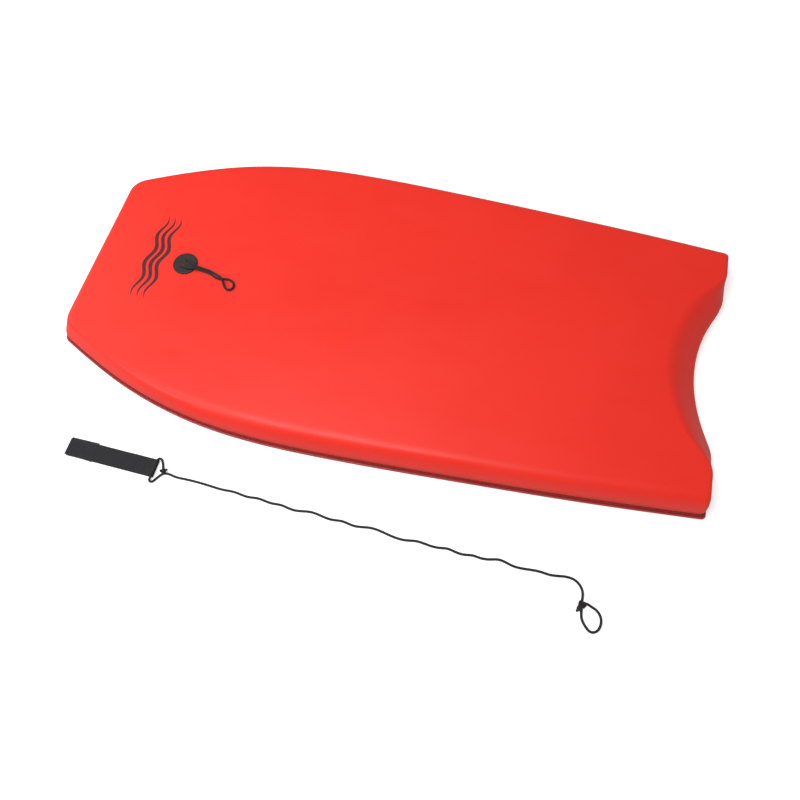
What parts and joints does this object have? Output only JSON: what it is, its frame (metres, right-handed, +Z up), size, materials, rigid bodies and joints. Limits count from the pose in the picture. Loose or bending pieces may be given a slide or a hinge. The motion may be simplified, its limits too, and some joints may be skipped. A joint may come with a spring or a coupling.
{
  "type": "bodyboard with wrist leash",
  "caption": "Crescent-tail foam bodyboard with a leash plug and cord loop in the deck, and a wrist strap on a thin leash cord lying beside it.",
  "frame": {"origin": "centre of the board's flat bottom, on the floor that it lies on", "axes": "+X from the nose to the tail, +Y across the board away from the leash, +Z up out of the deck"},
  "size_m": [1.0399, 0.6758, 0.058],
  "materials": {
    "bead_foam": "moulded bead foam",
    "deck_foam": "satin closed-cell foam skin with a fine pebble grain",
    "slick": "smooth slick skin",
    "seam": "matt heat-welded seam",
    "plug_plastic": "fine moulded texture",
    "cord": "braided polyester cord",
    "webbing": "woven nylon webbing",
    "hook_tape": "moulded hook tape",
    "loop_tape": "brushed loop pile"
  },
  "bodies": {
    "root": {"foam_core": "bead_foam", "deck_skin": "deck_foam", "bottom_skin": "slick", "rail_seam_band": "seam", "plug_top_disc": "plug_plastic", "plug_bottom_disc": "plug_plastic", "plug_loop_knot": "cord", "plug_loop_leg_a": "cord", "plug_loop_leg_b": "cord"},
    "plug_loop": {"plug_loop_cord": "cord"},
    "leash": {"strap_webbing": "webbing", "strap_loop_patch": "loop_tape", "bail_cord": "cord", "strap_knot": "cord", "leash_cord": "cord", "end_knot": "cord", "end_loop_cord": "cord"},
    "flap": {"strap_flap": "webbing", "strap_hook_patch": "hook_tape"}
  },
  "joints": [
    {"name": "plug_loop_flop", "type": "hinge", "parent": "root", "child": "plug_loop", "pos_m": [-0.3485, 0, 0.05465], "axis": [-0.28, -0.96, 0], "range_deg": [0, 175]},
    {"name": "leash_lift", "type": "slide", "parent": "root", "child": "leash", "axis": [0, 0, 1], "range_m": [0, 0.3]},
    {"name": "strap_flap_open", "type": "hinge", "parent": "leash", "child": "flap", "pos_m": [-0.3006, -0.33372, 0.0073], "axis": [0.0192, 0.9998, 0], "range_deg": [0, 160]}
  ]
}
